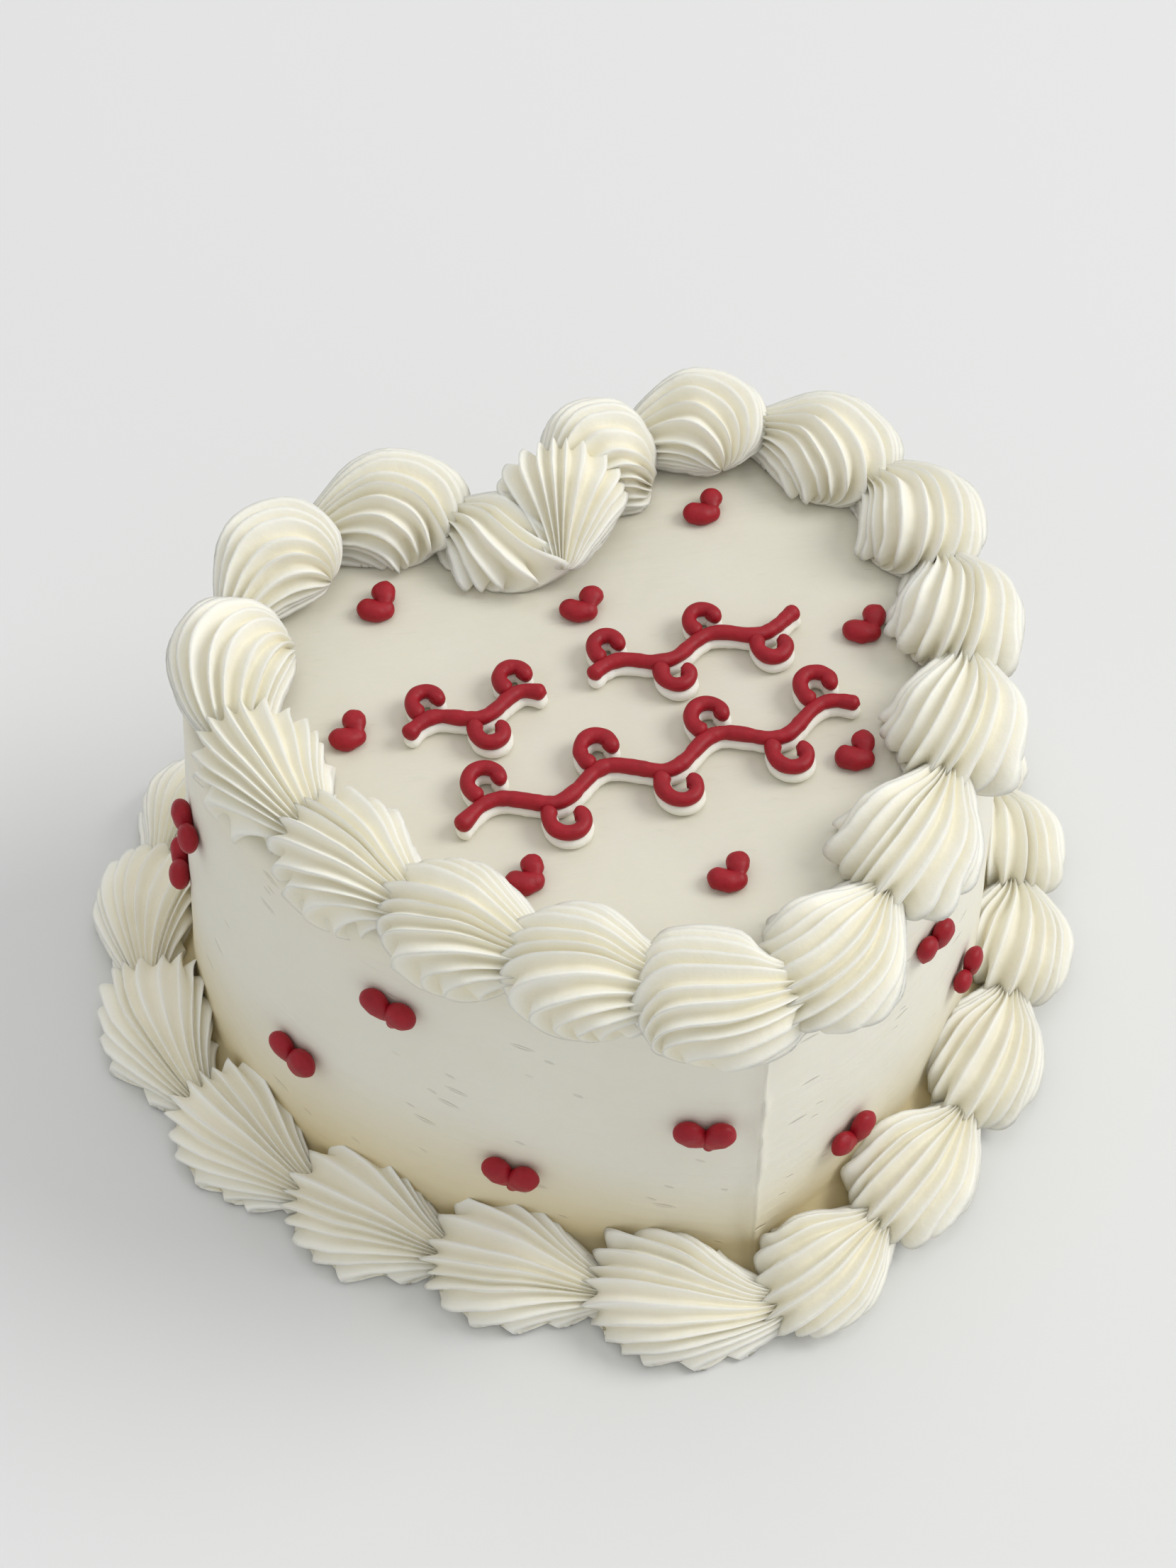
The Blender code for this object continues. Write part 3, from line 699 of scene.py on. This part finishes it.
for i, (ja, jb) in enumerate(border((TOP_LINE, TOP_LINE), TOP_CLEFT, TOP_LEFT, TOP_RIGHT), 1):
    more = dict(TOP_MORE.get(i, {}))
    source, twist, drop = TOP_SHAPE[i]
    frontness = max(0.0, min(1.0, -(ja[0][1] + jb[0][1]) / 80.0))
    size = (1.0 + 0.05 * frontness) * more.pop("w", 1.0)
    w_out = TOP_W * 0.5 * size + more.pop("w_more", 0.0)
    hgt = (TOP_H + 0.4) * (1 + 0.03 * rng.uniform(-1, 1)) * more.pop("height", 1.0)
    z0 = WALL_H - FRONT_SAG * frontness * (1.0 if i < 10 else 0.3)
    track = Track(ja, jb)
    if i == 18:
        z0 += 1.4
        a, b = np.array([5.2, 25.5]), np.array([0.6, 12.6])
        d = (b - a) / np.linalg.norm(b - a)
        track = Track((a, d), (b, d))
    piped_shell("top_shell_%02d" % i, track, 100 + i, TOP_W * 0.5 * size, w_out,
                hgt, z0, drop, source, twist=twist * (1 + 0.15 * rng.uniform(-1, 1)), mat=i % 3,
                **({"ribs": 24 if i % 3 == 0 else 23} | more))
# the left base shells (i < 10) take the brighter copies, mat 3 and 4: painted light
for i, (ja, jb) in enumerate(border((BASE_LINE_LEFT, BASE_LINE), BASE_CLEFT,
                                    BASE_LEFT, BASE_RIGHT), 1):
    track = Track(ja, jb)
    hgt = (BASE_H - 1.4) * (1 + 0.04 * rng.uniform(-1, 1))
    source = (0.42, 0.08, -0.90) if i < 10 else (0.20, 0.08, -0.97)
    piped_shell("base_shell_%02d" % i, track, 300 + i, 7.3, BASE_W * 0.5 - 0.2, hgt, 0.0, 0.0, source,
                head=1.8, tail=3.2, twist=0.22 + 0.12 * rng.uniform(-1, 1),
                ribs=21 if i % 3 == 0 else 20, depth=1.62, lift=4.2 if i < 10 else 3.2,
                taper=0.42, teeth=1.15 if i < 10 else 1.1, flare=1.0, crown=0.8,
                flare_out=0.95 if i < 10 else 0.5, rise=0.9, floor=0.02,
                sink=(0.95, 0.0, 0.02), mat=3 + i % 2 if i < 10 else i % 3)


# --------------------------------------------------------------- red hearts
def blob(points, radii, lift, flat=0.82, n=26, m=24):
    """Smooth dollop swept along plan points; it sinks into what it lies on."""
    pts, radii, lift = np.array(points, float), np.array(radii, float), np.array(lift, float)
    s0 = lengths_along(pts)
    total = s0[-1] + radii[0] + radii[-1]
    d = 0.5 - 0.5 * np.cos(np.linspace(0, math.pi, n))
    x = -radii[0] + total * d
    c = np.clip(x, 0, s0[-1])
    p = np.c_[np.interp(c, s0, pts[:, 0]), np.interp(c, s0, pts[:, 1])]
    r = np.interp(c, s0, radii)
    z = np.interp(c, s0, lift)
    t = np.gradient(np.c_[np.interp(c, s0, pts[:, 0]), np.interp(c, s0, pts[:, 1])], axis=0)
    t0, t1 = pts[1] - pts[0], pts[-1] - pts[-2]
    t0, t1 = t0 / np.linalg.norm(t0), t1 / np.linalg.norm(t1)
    over = x - c
    nn = np.linalg.norm(t, axis=1)
    t = np.where(nn[:, None] > 1e-6, t / np.maximum(nn, 1e-9)[:, None], 0)
    t[x <= 0], t[x >= s0[-1]] = t0, t1
    p = p + t * over[:, None]
    end_r = np.where(over < 0, radii[0], radii[-1])
    r = r * np.sqrt(np.clip(1 - (over / end_r) ** 2, 0.0004, 1))
    a = np.linspace(0, 2 * math.pi, m, endpoint=False)[None, :]
    e = np.c_[-t[:, 1], t[:, 0]]
    V = np.zeros((n, m, 3))
    V[..., 0] = p[:, :1] + e[:, :1] * r[:, None] * np.cos(a)
    V[..., 1] = p[:, 1:] + e[:, 1:] * r[:, None] * np.cos(a)
    V[..., 2] = np.maximum(z[:, None] + r[:, None] * flat * np.sin(a), -0.25)
    return V.reshape(-1, 3), grid_faces(n, m), n, m


def piped_heart(name, centre, across, along, normal, seed, wall):
    rg = np.random.default_rng(seed)
    j = lambda a: rg.uniform(-a, a)
    if wall:
        k = 1.08 + j(0.06)
        parts = [
            blob([(-1.60 * k, 0.95 + j(.25)), (-0.95, -0.10), (-0.25, -1.35), (-0.10 + j(.25), -2.30)],
                 [1.62 + j(.1), 1.50, 0.95, 0.22], [0.95, 0.85, 0.5, 0.25], flat=0.75),
            blob([(1.50 * k, 0.95 + j(.3)), (1.05, -0.25), (0.35 + j(.15), -1.90)],
                 [1.68 + j(.1), 1.55, 0.62], [1.15, 1.05, 0.70], flat=0.75),
        ]
        if seed >= 608:
            # the ones on the right flank end in drawn-out points
            parts = [
                blob([(-1.45, 0.85 + j(.2)), (-1.05, -0.35), (-0.75 + j(.1), -2.45)],
                     [1.45, 1.22, 0.20], [0.95, 0.80, 0.30], flat=0.75),
                blob([(1.45, 1.05 + j(.2)), (1.20, -0.20), (1.00 + j(.1), -2.10)],
                     [1.60, 1.35, 0.22], [1.15, 1.00, 0.40], flat=0.75),
            ]
    else:
        parts = [
            blob([(-1.30 + j(.12), -0.15 + j(.15)), (-0.50, -0.80), (0.45, -0.95 + j(.12))],
                 [1.42 + j(.06), 1.52, 1.36], [0.88, 0.85, 0.80]),
            blob([(1.45 + j(.12), 0.95 + j(.2)), (1.20, 0.15), (0.80 + j(.15), -0.85)],
                 [1.44 + j(.08), 1.26, 0.66], [1.22, 1.32, 1.25]),
        ]
    V, F, off = [], [], 0
    for verts, faces, rows, cols in parts:
        verts = verts + 0.08 * noise(verts / 1.3 + seed, 41)[:, None]
        verts = verts + 0.04 * noise(verts / 0.5 + seed, 42)[:, None]
        V.append(verts)
        F += [tuple(f + off) for f in faces]
        F.append(tuple(off + k for k in range(cols - 1, -1, -1)))
        F.append(tuple(off + (rows - 1) * cols + k for k in range(cols)))
        off += len(verts)
    V = np.concatenate(V) * ([1.12, 1.12, 1.0] if wall else 1.0)
    c = np.array(centre)
    W = c + V[:, :1] * np.array(across) + V[:, 1:2] * np.array(along) + V[:, 2:3] * np.array(normal)
    if shell_inward(W[:len(parts[0][0])], [tuple(f) for f in parts[0][1]]):
        F = [f[::-1] for f in F]
    build(name + "_piped", W, F, [mat_red_b if seed % 2 else mat_red], None, [name])


for i, (x, y, deg) in enumerate(TOP_HEARTS, 1):
    a = math.radians(deg)
    piped_heart("top_heart_%02d" % i, (x, y, WALL_H - 0.05), (math.cos(a), math.sin(a), 0),
                (-math.sin(a), math.cos(a), 0), (0, 0, 1), 500 + i, False)


def wall_point(deg, z):
    h = half_heart(-LEAN * z / WALL_H, 90)
    ring = np.r_[h, (h * [-1, 1])[::-1][1:-1]]
    d = np.array([math.cos(math.radians(deg)), math.sin(math.radians(deg))])
    unit = ring / np.linalg.norm(ring, axis=1)[:, None]
    best = int((unit @ d).argmax())
    p, q = ring[best - 1], ring[(best + 1) % len(ring)]
    t = (q - p) / np.linalg.norm(q - p)
    n = np.array([t[1], -t[0]])
    if n @ ring[best] < 0:
        n = -n
    return Vector((*ring[best], z)), n


for i, (deg, z) in enumerate(WALL_HEARTS, 1):
    p, n = wall_point(deg, z)
    up = Vector((-n[0] * LEAN / WALL_H, -n[1] * LEAN / WALL_H, 1)).normalized()
    across = Vector((-n[1], n[0], 0))
    normal = across.cross(up).normalized()
    if normal.dot(Vector((n[0], n[1], 0))) < 0:
        normal = -normal
    r = math.radians((-6, 8, -4, -12, -2, 6, 10, -6, 8, 0)[i - 1])
    a2 = across * math.cos(r) + up * math.sin(r)
    u2 = up * math.cos(r) - across * math.sin(r)
    piped_heart("wall_heart_%02d" % i, tuple(p - normal * 0.05), tuple(a2), tuple(u2), tuple(normal),
                600 + i, True)


# ------------------------------------------------------------ red flourishes
def rope(path, radius, z, seed, flat=0.95, m=16, end=0.9):
    """Round rope of icing along plan points, with blunt lumpy ends."""
    path = np.asarray(path, float)
    s = lengths_along(path)
    n = max(10, int(s[-1] / 0.22))
    d = np.linspace(0, s[-1], n)
    p = np.c_[np.interp(d, s, path[:, 0]), np.interp(d, s, path[:, 1])]
    zz = np.interp(d, s, z) if np.ndim(z) else np.full(n, z)
    k = np.ones(5) / 5
    for c in (0, 1):
        ext = np.r_[np.full(2, p[0, c]), p[:, c], np.full(2, p[-1, c])]
        sm = np.convolve(ext, k, "valid")
        sm[0], sm[-1] = p[0, c], p[-1, c]
        p[:, c] = sm
    t = np.gradient(p, axis=0)
    t /= np.linalg.norm(t, axis=1)[:, None]
    side = np.c_[-t[:, 1], t[:, 0]]
    r = radius * (1 + 0.07 * noise(np.c_[d / 1.9, d * 0, d * 0 + seed], 51)
                  + 0.05 * noise(np.c_[d / 0.7, d * 0, d * 0 + seed], 52))
    e = np.minimum(d, s[-1] - d)
    round_end = np.sqrt(np.clip(1 - (1 - np.clip(e / radius, 0, 1)) ** 2, 0, 1))
    r = r * np.maximum(round_end, 0.05) * (1 + 0.12 * np.exp(-((e - 1.0) / 0.8) ** 2) * end)
    a = np.linspace(0, 2 * math.pi, m, endpoint=False)
    V = np.zeros((n, m, 3))
    V[..., 0] = p[:, None, 0] + side[:, None, 0] * r[:, None] * np.cos(a)
    V[..., 1] = p[:, None, 1] + side[:, None, 1] * r[:, None] * np.cos(a)
    V[..., 2] = zz[:, None] + r[:, None] * flat * np.sin(a)
    return V


def add_rope(store, V, mat=0):
    rows, cols = V.shape[:2]
    off = sum(len(v) for v in store["v"])
    verts = V.reshape(-1, 3)
    F = [tuple(int(i) + off for i in f) for f in grid_faces(rows, cols)]
    F.append(tuple(off + k for k in range(cols - 1, -1, -1)))
    F.append(tuple(off + (rows - 1) * cols + k for k in range(cols)))
    if shell_inward(verts, [tuple(f) for f in grid_faces(rows, cols)]):
        F = [f[::-1] for f in F]
    store["v"].append(verts)
    store["f"] += F


def curl_points(cx, cy, side, r0, r1, a0, sweep, steps):
    u = np.linspace(0, 1, steps + 1)
    a = np.radians(a0 - sweep * u)
    r = r0 + (r1 - r0) * u ** 0.85
    return np.c_[cx + r * np.cos(a), cy + side * r * np.sin(a)]


def flourish(name, x0, x1, y, amp, wave, first, curl, seed):
    def stem_y(x):
        return y + amp * np.cos(2 * math.pi * (x - first) / wave)
    x = np.linspace(x0, x1, 80)
    stem = np.c_[x, stem_y(x)]
    red, cream = {"v": [], "f": []}, {"v": [], "f": []}
    r_red, r_cream = 0.93, 0.95
    z_cream, z_red = WALL_H + 0.62, WALL_H + 1.86
    paths = [(stem, 0.0)]
    k, cx = 0, first
    while cx < x1 - 0.5:
        sd = 1 if k % 2 == 0 else -1
        pts = curl_points(cx + 0.5 * curl, float(stem_y(cx)) + sd * 3.0 * curl, sd,
                          3.0 * curl, 1.15 * curl, 240, 297, 60)
        paths.append((pts, 0.12))
        k += 1
        cx += wave / 2
    for j, (pts, lift) in enumerate(paths):
        wob = 0.10 * noise(np.c_[pts / 2.3, np.full(len(pts), seed + j)], 61)
        pts = pts + wob[:, None]
        add_rope(red, rope(pts, r_red, z_red + lift, seed + j * 1.3))
        # the cream rope below lies a little nearer to the front
        add_rope(cream, rope(pts + [0.10, -0.26], r_cream, z_cream + 0.3 * lift, seed + 7 + j * 1.1,
                             flat=0.9))
    build(name + "_red", np.concatenate(red["v"]), red["f"], [mat_red], None, [name])
    cv = np.concatenate(cream["v"])
    cv[:, 2] = np.maximum(cv[:, 2], WALL_H - 0.5)
    build(name + "_under", cv, cream["f"], [mat_piping[0]], {"groove_shading": np.full(len(cv), 0.85)},
          ())


flourish("flourish_left", -26.6, -8.6, -6.2, 1.1, 11.0, -22.6, 0.80, 3)
flourish("flourish_right", -3.0, 24.6, -5.6, 1.1, 12.4, 0.6, 0.80, 5)
flourish("flourish_front", -25.4, 25.6, -20.6, 1.5, 14.0, -20.2, 0.96, 8)


# -------------------------------------------------- floor, light and camera
def pale_floor():
    m, nt, b = node_tree("pale_floor")
    co = nt.nodes.new("ShaderNodeTexCoord").outputs["Object"]
    c = ramp(nt, noise_tex(nt, co, 2.2, 2.0, 0.5), [(0.3, (0.722, 0.727, 0.722)), (0.7, (0.742, 0.747, 0.742))])
    link(nt, c, b.inputs["Base Color"])
    b.inputs["Roughness"].default_value = 0.75
    b.inputs["Specular IOR Level"].default_value = 0.25
    me = bpy.data.meshes.new("floor")
    s = 4.0
    me.from_pydata([(-s, -s, -0.0002), (s, -s, -0.0002), (s, s, -0.0002), (-s, s, -0.0002)], [],
                   [(0, 1, 2, 3)])
    me.materials.append(m)
    ob = bpy.data.objects.new("floor", me)
    bpy.context.scene.collection.objects.link(ob)


pale_floor()

world = bpy.data.worlds.new("studio") if bpy.context.scene.world is None else bpy.context.scene.world
bpy.context.scene.world = world
world.use_nodes = True
bg = world.node_tree.nodes.get("Background") or world.node_tree.nodes.new("ShaderNodeBackground")
bg.inputs[0].default_value = (0.985, 0.992, 1.0, 1.0)
bg.inputs[1].default_value = 0.70


def soft_light(name, place, target, size, watts, colour=(1.0, 0.99, 0.97)):
    d = bpy.data.lights.new(name, "AREA")
    d.shape, d.size, d.energy, d.color = "DISK", size, watts, colour
    ob = bpy.data.objects.new(name, d)
    ob.location = place
    ob.rotation_mode = "QUATERNION"
    ob.rotation_quaternion = (Vector(target) - Vector(place)).to_track_quat("-Z", "Y")
    bpy.context.scene.collection.objects.link(ob)


soft_light("window", (1.55, -0.35, 1.52), (0, 0, 0.03), 1.15, 21.5)
soft_light("ceiling", (0.2, 0.5, 2.0), (0, 0, 0), 1.4, 4.0, (1.0, 1.0, 1.0))

E, ROLL, YAW = math.radians(52.0985), math.radians(2.0691), math.radians(22.9)
fwd = Vector((0, math.cos(E), -math.sin(E)))
right = Vector((1, 0, 0))
upv = Vector((0, math.sin(E), math.cos(E)))
cam_x = math.cos(ROLL) * right + math.sin(ROLL) * upv
cam_y = -math.sin(ROLL) * right + math.cos(ROLL) * upv
turn = Matrix.Rotation(-YAW, 3, "Z")
cam_x, cam_y, cam_z = turn @ cam_x, turn @ cam_y, turn @ (-fwd)
place = turn @ Vector((-1.704 + 1.5, -251.899 - 2.8, 355.932))
cam_data = bpy.data.cameras.new("camera")
cam_data.lens, cam_data.sensor_width, cam_data.sensor_fit = 4600 * 36.0 / 2212, 36.0, "AUTO"
cam_data.clip_start, cam_data.clip_end = 0.02, 20.0
cam = bpy.data.objects.new("camera", cam_data)
rot = Matrix((cam_x, cam_y, cam_z)).transposed()
cam.matrix_world = Matrix.Translation(place * MM) @ rot.to_4x4()
bpy.context.scene.collection.objects.link(cam)
bpy.context.scene.camera = cam
bpy.context.scene.view_settings.view_transform = "Standard"
bpy.context.scene.view_settings.look = "None"
